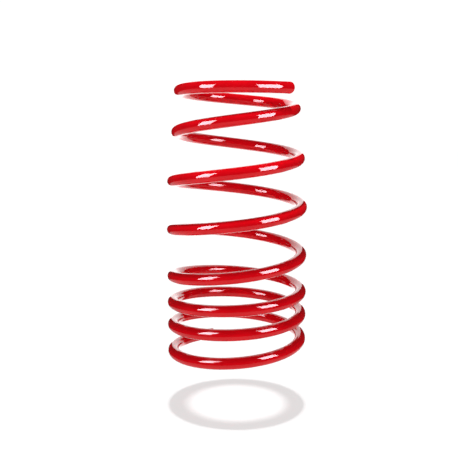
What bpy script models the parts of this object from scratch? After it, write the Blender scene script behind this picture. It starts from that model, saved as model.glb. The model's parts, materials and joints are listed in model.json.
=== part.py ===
"""Coil spring for a car's suspension: one coated steel bar, wound right-handed.

The coils stand close together at the bottom and wide apart at the top, so the spring
stiffens as it is squeezed. The bar is modelled in named lengths, a quarter turn each
between the two end coils, so that every length can sink a little onto the one below.

Units are metres and turns, +Z is up along the coil's axis, and the origin is on that
axis at the height of the lower seat.
"""

import math

import bmesh
import bpy

# --- driving dimensions ---------------------------------------------------------
BAR_RADIUS = 0.0061             # over the powder coat
COIL_RADIUS = 0.0690            # axis to the middle of the bar
TOP_COIL_RADIUS = 0.0603        # the same in the upper end coil, where the coil is drawn in
TAPER_START_TURN = 4.735        # turns up from the lower tip where the coil starts to draw in
TAPER_END_TURN = 7.175          # and where it has reached the upper end coil's radius
SPREAD_START_TURN = 7.505       # the last of the bar springs open a little from here to its tip
TIP_SPREAD = 0.0049             # how far outwards the upper tip has sprung
TURNS = 7.587                   # from tip to tip of the bar
LOWER_TIP_AZIMUTH = math.radians(113.4)

CLOSE_PITCH = 0.0248            # rise of one turn in the close-wound coils
OPEN_PITCH = 0.0517             # rise of one turn in the open-wound coils
END_PITCH = 0.0361              # the lower end coil's steepest rise, as it clears its own tip
SEAT_TURN = 0.03                # the bar lies flat on the lower seat up to here
END_PITCH_TURN = 0.445
CLOSE_START_TURN = 1.225
CLOSE_END_TURN = 2.745
OPEN_START_TURN = 3.455
OPEN_END_TURN = 6.715
TOP_FLAT_TURN = 7.395           # the bar lies flat under the upper seat from here on

LOWER_END_TURNS = 0.435         # length of the lower end coil, up to the first cut
CLOSE_QUARTERS = 10             # quarter turns that belong to the close-wound coils
OPEN_QUARTERS = 17              # and to the open-wound coils above them

CUT_GAP = 0.00032               # between the lengths of bar
TIP_CHAMFER = 0.0008            # broken edge round the two ends of the bar
SIDES = 12                      # flats round the bar, one of them facing straight down
SEGMENTS_PER_TURN = 32

COAT_COLOR = (0.62, 0.0015, 0.006, 1.0)
COAT_ROUGHNESS = 0.16

QUARTER = 0.25


# --- the line down the middle of the bar ----------------------------------------
def pitch_stations():
    """Turn and pitch at each point where the winding changes, straight lines between."""
    return (
        (0.0, 0.0),
        (SEAT_TURN, 0.0),
        (END_PITCH_TURN, END_PITCH),
        (CLOSE_START_TURN, CLOSE_PITCH),
        (CLOSE_END_TURN, CLOSE_PITCH),
        (OPEN_START_TURN, OPEN_PITCH),
        (OPEN_END_TURN, OPEN_PITCH),
        (TOP_FLAT_TURN, 0.0),
        (TURNS, 0.0),
    )


def pitch_at(turn):
    """Rise per turn at this turn."""
    stations = pitch_stations()
    for (low, low_pitch), (high, high_pitch) in zip(stations, stations[1:]):
        if turn <= high:
            return low_pitch + (high_pitch - low_pitch) * (turn - low) / (high - low)
    return 0.0


def height_at(turn):
    """Height of the bar's middle: the pitch summed from the lower tip, one trapezium a stretch."""
    height = BAR_RADIUS
    stations = pitch_stations()
    for (low, low_pitch), (high, _) in zip(stations, stations[1:]):
        end = min(turn, high)
        if end <= low:
            break
        height += 0.5 * (low_pitch + pitch_at(end)) * (end - low)
    return height


def radius_at(turn):
    """Axis to the middle of the bar.

    It is drawn in smoothly from the body to the upper end coil, and the bar's last
    stretch springs open again by the square of the way to the tip.
    """
    share = (turn - TAPER_START_TURN) / (TAPER_END_TURN - TAPER_START_TURN)
    share = min(max(share, 0.0), 1.0)
    spread = max(0.0, (turn - SPREAD_START_TURN) / (TURNS - SPREAD_START_TURN))
    drawn_in = (TOP_COIL_RADIUS - COIL_RADIUS) * share * share * (3.0 - 2.0 * share)
    return COIL_RADIUS + drawn_in + TIP_SPREAD * spread * spread


# --- one length of bar ----------------------------------------------------------
def section(turn, bar_radius, start, origin_height):
    """The bar's outline in the upright plane through the coil's axis, in its object's own frame.

    The outline is a regular polygon round the bar, with flats facing up and down. It is
    stretched upright by the slope, so that the bar is round across its own line.
    """
    slope = pitch_at(turn) / (2.0 * math.pi * radius_at(turn))
    upright = math.sqrt(1.0 + slope * slope)
    corner_radius = bar_radius / math.cos(math.pi / SIDES)
    azimuth = 2.0 * math.pi * (turn - start)
    points = []
    for side in range(SIDES):
        angle = 2.0 * math.pi * (side + 0.5) / SIDES
        out = radius_at(turn) + corner_radius * math.cos(angle)
        up = height_at(turn) - origin_height + corner_radius * upright * math.sin(angle)
        points.append((out * math.cos(azimuth), out * math.sin(azimuth), up))
    return points


def stations_of(start, end, lower_tip, upper_tip):
    """(turn, bar radius) along one length: rings at whole segments, plus its ends.

    A cut end stops half a gap short. An end of the bar gets a ring for its broken edge.
    """
    metres_per_turn = 2.0 * math.pi * COIL_RADIUS
    half_gap = 0.5 * CUT_GAP / metres_per_turn
    chamfer = TIP_CHAMFER / metres_per_turn
    count = math.ceil((end - start) * SEGMENTS_PER_TURN)
    inner = [end - step / SEGMENTS_PER_TURN for step in range(count - 1, 0, -1)]
    if upper_tip:
        inner = [start + step / SEGMENTS_PER_TURN for step in range(1, count)]
    rings = [(turn, BAR_RADIUS) for turn in inner]
    if lower_tip:
        rings = [(start, BAR_RADIUS - TIP_CHAMFER), (start + chamfer, BAR_RADIUS)] + rings
    else:
        rings = [(start + half_gap, BAR_RADIUS)] + rings
    if upper_tip:
        rings = rings + [(end - chamfer, BAR_RADIUS), (end, BAR_RADIUS - TIP_CHAMFER)]
    else:
        rings = rings + [(end - half_gap, BAR_RADIUS)]
    return rings


def coat_material(name):
    """Glossy red powder coat."""
    material = bpy.data.materials.new(name)
    material.use_nodes = True
    shader = material.node_tree.nodes["Principled BSDF"]
    shader.inputs["Base Color"].default_value = COAT_COLOR
    shader.inputs["Roughness"].default_value = COAT_ROUGHNESS
    shader.inputs["Metallic"].default_value = 0.0
    shader.inputs["Coat Weight"].default_value = 0.5
    material.diffuse_color = COAT_COLOR
    return material


def bar_length(name, start, end, below, lower_tip=False, upper_tip=False):
    """One named length of the bar, from turn start to turn end, resting on the length below.

    A polygon is drawn at the lower end and extruded ring by ring up the winding. The
    object's origin is on the coil's axis, level with the bar at its lower end, and the
    object is turned so that its own +X passes through that end.
    """
    origin_height = height_at(start)
    rings = stations_of(start, end, lower_tip, upper_tip)
    mesh = bpy.data.meshes.new(name)
    shape = bmesh.new()
    outlines = [section(turn, radius, start, origin_height) for turn, radius in rings]
    front = shape.faces.new([shape.verts.new(point) for point in outlines[0]])
    for number, outline in enumerate(outlines[1:]):
        grown = bmesh.ops.extrude_face_region(shape, geom=[front])
        if number > 0:
            bmesh.ops.delete(shape, geom=[front], context="FACES_ONLY")
        front = next(item for item in grown["geom"] if isinstance(item, bmesh.types.BMFace))
        for corner, point in zip(front.verts, outline):
            corner.co = point
    bmesh.ops.recalc_face_normals(shape, faces=shape.faces)
    shape.to_mesh(mesh)
    shape.free()
    mesh.shade_smooth()
    mesh.set_sharp_from_angle(angle=math.radians(40.0))
    mesh.materials.append(coat_material(name + "_coat"))

    length = bpy.data.objects.new(name, mesh)
    bpy.context.scene.collection.objects.link(length)
    length.parent = below["object"]
    length.location = (0.0, 0.0, origin_height - below["height"])
    length.rotation_euler = (0.0, 0.0, 2.0 * math.pi * (start - below["turn"]))
    return {"object": length, "height": origin_height, "turn": start}


def clear_scene():
    for item in list(bpy.data.objects):
        bpy.data.objects.remove(item, do_unlink=True)


def spring_axis():
    """An empty on the coil's axis at the lower seat, turned to the lower tip's azimuth."""
    axis = bpy.data.objects.new("spring_axis", None)
    bpy.context.scene.collection.objects.link(axis)
    axis.rotation_euler = (0.0, 0.0, LOWER_TIP_AZIMUTH)
    return {"object": axis, "height": 0.0, "turn": 0.0}


def wind_quarters(family, count, start, below):
    """A run of quarter turns, each carried by the one below it. Four make one coil."""
    for number in range(count):
        name = f"{family}_coil_{number // 4 + 1}_quarter_{number % 4 + 1}"
        below = bar_length(name, start, start + QUARTER, below)
        start += QUARTER
    return start, below


def build():
    clear_scene()
    below = spring_axis()
    below = bar_length("bottom_end_coil", 0.0, LOWER_END_TURNS, below, lower_tip=True)
    turn, below = wind_quarters("close", CLOSE_QUARTERS, LOWER_END_TURNS, below)
    turn, below = wind_quarters("open", OPEN_QUARTERS, turn, below)
    bar_length("top_end_coil", turn, TURNS, below, upper_tip=True)


build()
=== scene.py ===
"""Coil spring for a car's suspension, wound from one round bar in glossy red powder coat.

The bar is shown as one tube in named lengths. The two end coils ride on bodies; the
lengths between them keep the places they are drawn in and follow no body.

Units are metres and turns. A turn is counted up the bar from its lower tip.
"""
import json
import math

import bpy
import numpy as np
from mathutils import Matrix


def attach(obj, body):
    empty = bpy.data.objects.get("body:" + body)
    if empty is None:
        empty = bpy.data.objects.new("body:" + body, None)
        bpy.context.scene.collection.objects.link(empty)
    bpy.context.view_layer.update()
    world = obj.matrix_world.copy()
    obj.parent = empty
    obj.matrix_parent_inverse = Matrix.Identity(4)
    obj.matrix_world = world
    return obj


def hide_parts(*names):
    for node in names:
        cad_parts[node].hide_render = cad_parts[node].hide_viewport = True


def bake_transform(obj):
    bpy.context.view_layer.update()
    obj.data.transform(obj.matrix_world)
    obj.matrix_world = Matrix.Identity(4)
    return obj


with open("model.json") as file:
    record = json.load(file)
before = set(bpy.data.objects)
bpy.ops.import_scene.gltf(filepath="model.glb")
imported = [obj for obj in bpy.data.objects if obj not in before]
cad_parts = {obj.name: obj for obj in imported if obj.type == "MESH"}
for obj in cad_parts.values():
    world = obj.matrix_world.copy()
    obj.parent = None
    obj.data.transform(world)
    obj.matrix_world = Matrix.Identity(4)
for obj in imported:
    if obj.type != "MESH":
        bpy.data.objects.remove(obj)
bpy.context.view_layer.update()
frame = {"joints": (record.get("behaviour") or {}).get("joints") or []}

# --- the winding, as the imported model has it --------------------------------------
BAR_RADIUS = 0.0061             # over the powder coat
COIL_RADIUS = 0.0690            # axis to the middle of the bar
TOP_COIL_RADIUS = 0.0603        # the same in the upper end coil
TAPER_TURNS = (4.735, 7.175)    # where the coil draws in from the one to the other
SPREAD_START_TURN = 7.505       # the bar springs open a little from here to its upper tip
TIP_SPREAD = 0.0049
TURNS = 7.587                   # from tip to tip of the bar
LOWER_TIP_AZIMUTH = math.radians(113.4)
CLOSE_PITCH = 0.0248            # rise of one turn in the close-wound coils
OPEN_PITCH = 0.0517             # and in the open-wound coils
END_PITCH = 0.0361              # the lower end coil's steepest rise
PITCH_TURNS = np.array([0.0, 0.03, 0.445, 1.225, 2.745, 3.455, 6.715, 7.395, TURNS])
PITCHES = np.array([0.0, 0.0, END_PITCH, CLOSE_PITCH, CLOSE_PITCH, OPEN_PITCH, OPEN_PITCH, 0.0, 0.0])
LOWER_END_TURNS = 0.435         # length of the lower end coil, up to the first cut
QUARTER = 0.25                  # length of each bending length above it

# --- how finely the bar is drawn ---------------------------------------------------
SIDES = 64
RINGS_PER_TURN = 384
TIP_ROUNDING = 0.0013           # radius of the broken edge round each end of the bar
TIP_RINGS = 8
STEP = 1e-4                     # turns and radians, for the surface's slopes

# --- the camera ---------------------------------------------------------------------
CAMERA_PLACE = (0.0, -0.780, 0.2514)
CAMERA_TILT = math.radians(-8.11)
CAMERA_TURN = math.radians(0.61)
LENS_MM = 57.4
SENSOR_MM = 36.0

# --- the studio's sizes and brightnesses ------------------------------------------------
WALL_SEEN = 1.05                # brightness of the walls to the eye
WALL_GLOSS = 0.02               # in the bar's gloss
FLOOR_GLOSS = 0.55              # in the bar's gloss, below the dip
WALL_MATT = 0.42                # in matt shading
DIP = (-0.30, -0.36)            # sine of the angle below level where wall turns to floor in the gloss
FLOOR_HEIGHT = -0.055           # the spring floats this far above the floor
FLOOR_HALF_WIDTH = 30.0
FLOOR_COLOUR = (0.34, 0.355, 0.355, 1.0)    # a little short of red, against the spring's own tint
FLOOR_GLOW = 0.575
CARD_DISTANCE = 0.449           # from the coil's axis to the middle of each highlight card
CARD_PLACE_HEIGHT = 0.34
CARD_AIM_HEIGHT = 0.20
CARD_TALL = 0.38
CARD_GLOW = 20.0
CARD_TINT = (1.0, 0.9, 1.0)
FILL_ASIDE = 0.9                # each fill light stands this far to its side of the spring
FILL_AHEAD = -1.4
FILL_PLACE_HEIGHT = 0.45
FILL_AIM_HEIGHT = 0.08
FILL_SIZE = 0.9
FILL_WATTS = 5.0
BACKDROP_BEHIND = 0.20          # from the coil's axis to the card behind the spring
BACKDROP_MIDDLE_HEIGHT = 0.16
BACKDROP_SIZE = (0.24, 0.55)
BACKDROP_GLOW = 1.9
SUN_STRENGTH = 2.8
SUN_WIDTH = math.radians(2.5)
WHITE = (1.0, 1.0, 1.0)


# --- the line down the middle of the bar --------------------------------------------
def pitch_at(turn):
    """Rise per turn: straight lines between the stations."""
    return np.interp(turn, PITCH_TURNS, PITCHES)


def height_at(turn):
    """Height of the bar's middle: one bar radius plus the pitch summed from the lower tip.

    Up to each station the sum is a row of trapezia; past it, the pitch there times the
    turns gone, plus half the pitch's gain times those turns.
    """
    widths = np.diff(PITCH_TURNS)
    sums = np.concatenate([[0.0], np.cumsum(0.5 * (PITCHES[1:] + PITCHES[:-1]) * widths)])
    stretch = np.clip(np.searchsorted(PITCH_TURNS, turn, side="right") - 1, 0, len(widths) - 1)
    gone = turn - PITCH_TURNS[stretch]
    return BAR_RADIUS + sums[stretch] + 0.5 * (PITCHES[stretch] + pitch_at(turn)) * gone


def radius_at(turn):
    """Axis to the bar's middle: the body's radius, eased to the top's by 3s^2 - 2s^3.

    The last of the bar springs open by the square of the way to the upper tip.
    """
    share = np.clip((turn - TAPER_TURNS[0]) / (TAPER_TURNS[1] - TAPER_TURNS[0]), 0.0, 1.0)
    spread = np.maximum(0.0, (turn - SPREAD_START_TURN) / (TURNS - SPREAD_START_TURN))
    drawn_in = (TOP_COIL_RADIUS - COIL_RADIUS) * share * share * (3.0 - 2.0 * share)
    return COIL_RADIUS + drawn_in + TIP_SPREAD * spread * spread


def bar_point(turn, angle, bar_radius):
    """The bar's surface at a turn and an angle round its section, 0 outwards, 90 degrees up.

    The section stands in the upright plane through the axis. It reaches bar_radius times
    the angle's cosine outwards, and bar_radius times its sine upwards, stretched by
    sqrt(1 + slope^2), where slope is the rise over the run of the winding.
    """
    radius = radius_at(turn)
    slope = pitch_at(turn) / (2.0 * math.pi * radius)
    azimuth = LOWER_TIP_AZIMUTH + 2.0 * math.pi * turn
    out = radius + bar_radius * np.cos(angle)
    up = height_at(turn) + bar_radius * np.sqrt(1.0 + slope * slope) * np.sin(angle)
    return np.stack([out * np.cos(azimuth), out * np.sin(azimuth), up], axis=-1)


def bar_normal(turn, angle):
    """Across the slopes along the bar and round it, both by small steps either way."""
    along = bar_point(turn + STEP, angle, BAR_RADIUS) - bar_point(turn - STEP, angle, BAR_RADIUS)
    around = bar_point(turn, angle + STEP, BAR_RADIUS) - bar_point(turn, angle - STEP, BAR_RADIUS)
    normal = np.cross(along, around)
    return normal / np.linalg.norm(normal, axis=-1, keepdims=True)


# --- one length of bar ----------------------------------------------------------------
def ring_rows(start, end, lower_tip, upper_tip):
    """(turn, bar radius, lean) of each ring up the length.

    At an end of the bar the edge is a quarter circle: the ring draws back along the bar
    by rounding times (1 - sin) and in by rounding times (1 - cos), and its normals lean
    from sideways to straight out of the end.
    """
    metres_per_turn = 2.0 * math.pi * COIL_RADIUS
    rounding = TIP_ROUNDING / metres_per_turn
    lean = np.linspace(0.5 * math.pi, 0.0, TIP_RINGS)
    first = start + rounding if lower_tip else start
    last = end - rounding if upper_tip else end
    count = max(2, round((last - first) * RINGS_PER_TURN) + 1)
    turns = np.linspace(first, last, count)
    rows = [np.stack([turns, np.full(count, BAR_RADIUS), np.zeros(count)], axis=1)]
    if lower_tip:
        tip = np.stack([start + rounding * (1.0 - np.sin(lean)),
                        BAR_RADIUS - TIP_ROUNDING * (1.0 - np.cos(lean)), -lean], axis=1)
        rows.insert(0, tip[:-1])
    if upper_tip:
        lean = lean[::-1]
        tip = np.stack([end - rounding * (1.0 - np.sin(lean)),
                        BAR_RADIUS - TIP_ROUNDING * (1.0 - np.cos(lean)), lean], axis=1)
        rows.append(tip[1:])
    return np.concatenate(rows)


def length_mesh(name, start, end, lower_tip, upper_tip):
    """A closed tube from turn start to turn end, its two ends shut by fans of triangles.

    Its normals are the surface's own, so two lengths that meet shade as one bar. The
    attribute bar_place is each point's place on the bar if it were pulled straight:
    across, up, and along from the lower tip.
    """
    rows = ring_rows(start, end, lower_tip, upper_tip)
    rings = len(rows)
    angles = np.arange(SIDES) * (2.0 * math.pi / SIDES)
    turn, angle = np.meshgrid(rows[:, 0], angles, indexing="ij")
    bar_radius, lean = rows[:, 1:2], rows[:, 2:3, None]
    points = bar_point(turn, angle, bar_radius)
    ahead = bar_point(turn + STEP, angle, 0.0) - bar_point(turn - STEP, angle, 0.0)
    ahead /= np.linalg.norm(ahead, axis=-1, keepdims=True)
    normals = bar_normal(turn, angle) * np.cos(lean) + ahead * np.sin(lean)
    metres = turn * 2.0 * math.pi * COIL_RADIUS
    places = np.stack([bar_radius * np.cos(angle), bar_radius * np.sin(angle), metres], axis=-1)

    ring, side = np.meshgrid(np.arange(rings - 1), np.arange(SIDES), indexing="ij")
    low, low_next = ring * SIDES + side, ring * SIDES + (side + 1) % SIDES
    quads = np.stack([low, low + SIDES, low_next + SIDES, low_next], axis=-1).reshape(-1, 4)
    around = np.arange(SIDES)
    past = (around + 1) % SIDES
    low_hub, high_hub = rings * SIDES, rings * SIDES + 1
    top = (rings - 1) * SIDES
    low_fan = np.stack([around, past, np.full(SIDES, low_hub)], axis=1)
    high_fan = np.stack([top + past, top + around, np.full(SIDES, high_hub)], axis=1)
    hubs = points[[0, -1]].mean(axis=1)
    hub_places = places[[0, -1]].mean(axis=1)

    mesh = bpy.data.meshes.new(name)
    vertices = np.concatenate([points.reshape(-1, 3), hubs])
    corners = np.concatenate([quads.ravel(), low_fan.ravel(), high_fan.ravel()])
    sizes = np.concatenate([np.full(len(quads), 4), np.full(2 * SIDES, 3)])
    starts = np.concatenate([[0], np.cumsum(sizes)[:-1]])
    mesh.vertices.add(len(vertices))
    mesh.vertices.foreach_set("co", vertices.astype(np.float32).ravel())
    mesh.loops.add(len(corners))
    mesh.loops.foreach_set("vertex_index", corners.astype(np.int32))
    mesh.polygons.add(len(sizes))
    mesh.polygons.foreach_set("loop_start", starts.astype(np.int32))
    mesh.update(calc_edges=True)
    mesh.shade_smooth()

    place = mesh.attributes.new("bar_place", "FLOAT_VECTOR", "POINT")
    all_places = np.concatenate([places.reshape(-1, 3), hub_places])
    place.data.foreach_set("vector", all_places.astype(np.float32).ravel())
    out_of_ends = np.stack([-ahead[0].mean(axis=0), ahead[-1].mean(axis=0)])
    end_normals = np.repeat(out_of_ends, 3 * SIDES, axis=0)
    corner_normals = np.concatenate([normals.reshape(-1, 3)[quads.ravel()], end_normals])
    mesh.normals_split_custom_set(corner_normals.astype(np.float32))
    return mesh


# --- the finish -------------------------------------------------------------------------
DEEP_RED = (0.585, 0.0012, 0.0052, 1.0)
BRIGHT_RED = (0.655, 0.0018, 0.0068, 1.0)
DUST_COLOUR = (0.75, 0.62, 0.60, 1.0)
COAT_ROUGHNESS = (0.03, 0.06)   # in the glossiest and the cloudiest places
DUST_ROUGHNESS = 0.4            # added on a mote of dust
DUST_COVER = 0.6
MOTE_SIZE = 0.09                # of the biggest mote, in cells of the mote pattern
MOTE_RARITY = 14.0
PEEL_HEIGHT = 0.000001
WAVE_TO_PEEL = 3.0              # height of the slow wave against the orange peel

DRIFT_SCALE = 38.0              # cells of each pattern to a metre
MOTE_SCALE = 260.0
CLOUD_SCALE = 120.0
PEEL_SCALE = 620.0
WAVE_SCALE = 95.0


class Wiring:
    """Adds nodes to a material or a world and links them."""

    def __init__(self, owner):
        owner.use_nodes = True
        self.tree = owner.node_tree

    def add(self, kind, settings=None, **inputs):
        node = self.tree.nodes.new(kind)
        for key, value in (settings or {}).items():
            setattr(node, key, value)
        for key, value in inputs.items():
            name = key.replace("_", " ")
            socket = next(s for s in node.inputs if s.name == name and s.enabled)
            self.put(socket, value)
        return node

    def put(self, socket, value):
        if isinstance(value, bpy.types.NodeSocket):
            self.tree.links.new(value, socket)
        else:
            socket.default_value = value

    def maths(self, operation, *values, clamp=False):
        node = self.tree.nodes.new("ShaderNodeMath")
        node.operation = operation
        node.use_clamp = clamp
        for socket, value in zip(node.inputs, values):
            self.put(socket, value)
        return node.outputs[0]

    def ease(self, value, low, high, start=0.0, end=1.0):
        """A smooth step of value from low to high, giving start to end."""
        node = self.add("ShaderNodeMapRange", {"interpolation_type": "SMOOTHSTEP"}, Value=value)
        ends = {"From Min": low, "From Max": high, "To Min": start, "To Max": end}
        for name, number in ends.items():
            node.inputs[name].default_value = number
        return node.outputs["Result"]

    def blend_colours(self, factor, first, second):
        node = self.tree.nodes.new("ShaderNodeMix")
        node.data_type = "RGBA"
        self.put(node.inputs[0], factor)
        self.put(node.inputs[6], first)
        self.put(node.inputs[7], second)
        return node.outputs[2]


def powder_coat():
    """Glossy red powder coat, with its orange peel, a slow drift of shade, and a little dust.

    Every pattern lies along the straightened bar, so it runs on from length to length.
    """
    material = bpy.data.materials.new("glossy_red_powder_coat")
    w = Wiring(material)
    shader = w.tree.nodes["Principled BSDF"]
    place = w.add("ShaderNodeAttribute", {"attribute_name": "bar_place"}).outputs["Vector"]

    drift = w.add("ShaderNodeTexNoise", Vector=place, Scale=DRIFT_SCALE, Detail=2.0).outputs[0]
    red = w.blend_colours(w.ease(drift, 0.3, 0.7), DEEP_RED, BRIGHT_RED)

    motes = w.add("ShaderNodeTexVoronoi", Vector=place, Scale=MOTE_SCALE)
    mote_size = w.maths("MULTIPLY", w.maths("POWER", motes.outputs["Color"], MOTE_RARITY), MOTE_SIZE)
    dust = w.maths("LESS_THAN", motes.outputs["Distance"], mote_size)
    colour = w.blend_colours(w.maths("MULTIPLY", dust, DUST_COVER), red, DUST_COLOUR)
    w.put(shader.inputs["Base Color"], colour)

    cloudy = w.add("ShaderNodeTexNoise", Vector=place, Scale=CLOUD_SCALE, Detail=3.0).outputs[0]
    gloss = w.ease(cloudy, 0.25, 0.8, *COAT_ROUGHNESS)
    w.put(shader.inputs["Roughness"], w.maths("ADD", gloss, w.maths("MULTIPLY", dust, DUST_ROUGHNESS)))

    peel = w.add("ShaderNodeTexNoise", Vector=place, Scale=PEEL_SCALE, Detail=1.0).outputs[0]
    wave = w.add("ShaderNodeTexNoise", Vector=place, Scale=WAVE_SCALE, Detail=1.0).outputs[0]
    skin = w.maths("ADD", peel, w.maths("MULTIPLY", wave, WAVE_TO_PEEL))
    bump = w.add("ShaderNodeBump", Height=skin, Strength=1.0, Distance=PEEL_HEIGHT)
    w.put(shader.inputs["Normal"], bump.outputs[0])
    return material


# --- the spring --------------------------------------------------------------------------
def lengths_of_bar():
    """(node, start, end, lower body, own body) of each named length, going up."""
    rows = [("bottom_end_coil", 0.0, LOWER_END_TURNS, None, "bottom_end_coil")]
    turn, below = LOWER_END_TURNS, "bottom_end_coil"
    for joint in frame["joints"]:
        rows.append((joint["child"], turn, turn + QUARTER, below, joint["child"]))
        turn, below = turn + QUARTER, joint["child"]
    rows.append(("top_end_coil", turn, TURNS, None, below))
    return rows


def carry(piece, start, end, below, own):
    """Rides a length on its own body when there is no body below it.

    Any other length stays where it is drawn, its place baked into its mesh, and follows no
    body; the level chord from its start to its end is worked out but not used.
    """
    if below is None:
        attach(piece, own)
        return
    low, high = (bar_point(np.array(turn), np.array(0.0), 0.0) for turn in (start, end))
    chord = (high - low) * (1.0, 1.0, 0.0)
    chord /= np.linalg.norm(chord)
    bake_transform(piece)


coat = powder_coat()
for node, start, end, below, own in lengths_of_bar():
    has_lower_tip, has_upper_tip = node == "bottom_end_coil", node == "top_end_coil"
    piece_mesh = length_mesh(f"coated_{node}", start, end, has_lower_tip, has_upper_tip)
    piece_mesh.materials.append(coat)
    piece = bpy.data.objects.new(f"coated_{node}", piece_mesh)
    bpy.context.scene.collection.objects.link(piece)
    carry(piece, start, end, below, own)
    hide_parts(node)


# --- the studio ----------------------------------------------------------------------------
def floor():
    """A plain white floor, a little glowing so that it doesn't grey off with distance."""
    mesh = bpy.data.meshes.new("studio_floor")
    corners = [(-1.0, -1.0), (1.0, -1.0), (1.0, 1.0), (-1.0, 1.0)]
    points = [(x * FLOOR_HALF_WIDTH, y * FLOOR_HALF_WIDTH, FLOOR_HEIGHT) for x, y in corners]
    mesh.from_pydata(points, [], [(0, 1, 2, 3)])
    material = bpy.data.materials.new("studio_floor_white")
    material.use_nodes = True
    shader = material.node_tree.nodes["Principled BSDF"]
    shader.inputs["Base Color"].default_value = FLOOR_COLOUR
    shader.inputs["Roughness"].default_value = 1.0
    shader.inputs["Specular IOR Level"].default_value = 0.0
    shader.inputs["Emission Color"].default_value = WHITE + (1.0,)
    shader.inputs["Emission Strength"].default_value = FLOOR_GLOW
    mesh.materials.append(material)
    plane = bpy.data.objects.new("studio_floor", mesh)
    bpy.context.scene.collection.objects.link(plane)
    plane.visible_glossy = False


def surround():
    """The studio's walls: white to the eye, dim in matt shading, and dark in the gloss.

    In the gloss they brighten below the dip, where the floor would be.
    """
    world = bpy.data.worlds.new("studio")
    bpy.context.scene.world = world
    w = Wiring(world)
    background = w.tree.nodes["Background"]
    background.inputs["Color"].default_value = WHITE + (1.0,)
    direction = w.add("ShaderNodeSeparateXYZ", Vector=w.add("ShaderNodeTexCoord").outputs["Generated"])
    in_gloss = w.ease(direction.outputs["Z"], *DIP, WALL_GLOSS, FLOOR_GLOSS)
    path = w.add("ShaderNodeLightPath").outputs
    in_matt = w.ease(path["Is Glossy Ray"], 0.0, 1.0, WALL_MATT, 0.0)
    to_the_eye = w.ease(path["Is Camera Ray"], 0.0, 1.0, 0.0, WALL_SEEN)
    level = w.maths("ADD", w.maths("MULTIPLY", path["Is Glossy Ray"], in_gloss),
                    w.maths("MAXIMUM", in_matt, to_the_eye))
    w.put(background.inputs["Strength"], level)


def turned_to(place, aim):
    """The rotation that faces a thing at place towards aim, with its own y axis upright."""
    x, y, z = (b - a for a, b in zip(place, aim))
    return (math.atan2(math.hypot(x, y), -z), 0.0, math.atan2(-x, y))


def soft_light(name, place, aim, size, watts):
    """A square soft light at place, facing aim. The gloss doesn't see it."""
    light = bpy.data.lights.new(name, "AREA")
    light.size = size
    light.energy = watts
    lamp = bpy.data.objects.new(name, light)
    bpy.context.scene.collection.objects.link(lamp)
    lamp.location = place
    lamp.rotation_euler = turned_to(place, aim)
    lamp.visible_camera = False
    lamp.visible_glossy = False


def glowing_card(name, place, aim, size, glow, tint):
    """A glowing rectangle at place, facing aim, that only the gloss sees."""
    mesh = bpy.data.meshes.new(name)
    w, h = 0.5 * size[0], 0.5 * size[1]
    mesh.from_pydata([(-w, -h, 0.0), (w, -h, 0.0), (w, h, 0.0), (-w, h, 0.0)], [], [(0, 3, 2, 1)])
    material = bpy.data.materials.new(name)
    wiring = Wiring(material)
    emission = wiring.add("ShaderNodeEmission", Color=tint + (1.0,), Strength=glow)
    wiring.put(wiring.tree.nodes["Material Output"].inputs["Surface"], emission.outputs[0])
    material.cycles.emission_sampling = "NONE"
    mesh.materials.append(material)
    card = bpy.data.objects.new(name, mesh)
    bpy.context.scene.collection.objects.link(card)
    card.location = place
    card.rotation_euler = turned_to(place, aim)
    card.visible_camera = False
    card.visible_diffuse = False
    card.visible_shadow = False


def overhead():
    """A sun straight above, for the soft ring of shadow under the coils."""
    light = bpy.data.lights.new("overhead", "SUN")
    light.energy = SUN_STRENGTH
    light.angle = SUN_WIDTH
    lamp = bpy.data.objects.new("overhead", light)
    bpy.context.scene.collection.objects.link(lamp)
    lamp.visible_glossy = False


def camera():
    data = bpy.data.cameras.new("camera")
    data.sensor_width = SENSOR_MM
    data.lens = LENS_MM
    eye = bpy.data.objects.new("camera", data)
    bpy.context.scene.collection.objects.link(eye)
    eye.location = CAMERA_PLACE
    eye.rotation_euler = (0.5 * math.pi + CAMERA_TILT, 0.0, CAMERA_TURN)
    bpy.context.scene.camera = eye


floor()
surround()
overhead()
for name, side, turned, wide in (("left", -1.0, 52.0, 0.20), ("right", 1.0, 50.5, 0.24)):
    angle = math.radians(turned)
    card_place = (side * CARD_DISTANCE * math.sin(angle), -CARD_DISTANCE * math.cos(angle), CARD_PLACE_HEIGHT)
    card_aim = (0.0, 0.0, CARD_AIM_HEIGHT)
    glowing_card(f"highlight_card_{name}", card_place, card_aim, (wide, CARD_TALL), CARD_GLOW, CARD_TINT)
    fill_place = (side * FILL_ASIDE, FILL_AHEAD, FILL_PLACE_HEIGHT)
    soft_light(f"fill_{name}", fill_place, (0.0, 0.0, FILL_AIM_HEIGHT), FILL_SIZE, FILL_WATTS)
backdrop_place = (0.0, BACKDROP_BEHIND, BACKDROP_MIDDLE_HEIGHT)
backdrop_aim = (0.0, 0.0, BACKDROP_MIDDLE_HEIGHT)
glowing_card("backdrop_card", backdrop_place, backdrop_aim, BACKDROP_SIZE, BACKDROP_GLOW, WHITE)
camera()
bpy.context.scene.view_settings.view_transform = "Standard"
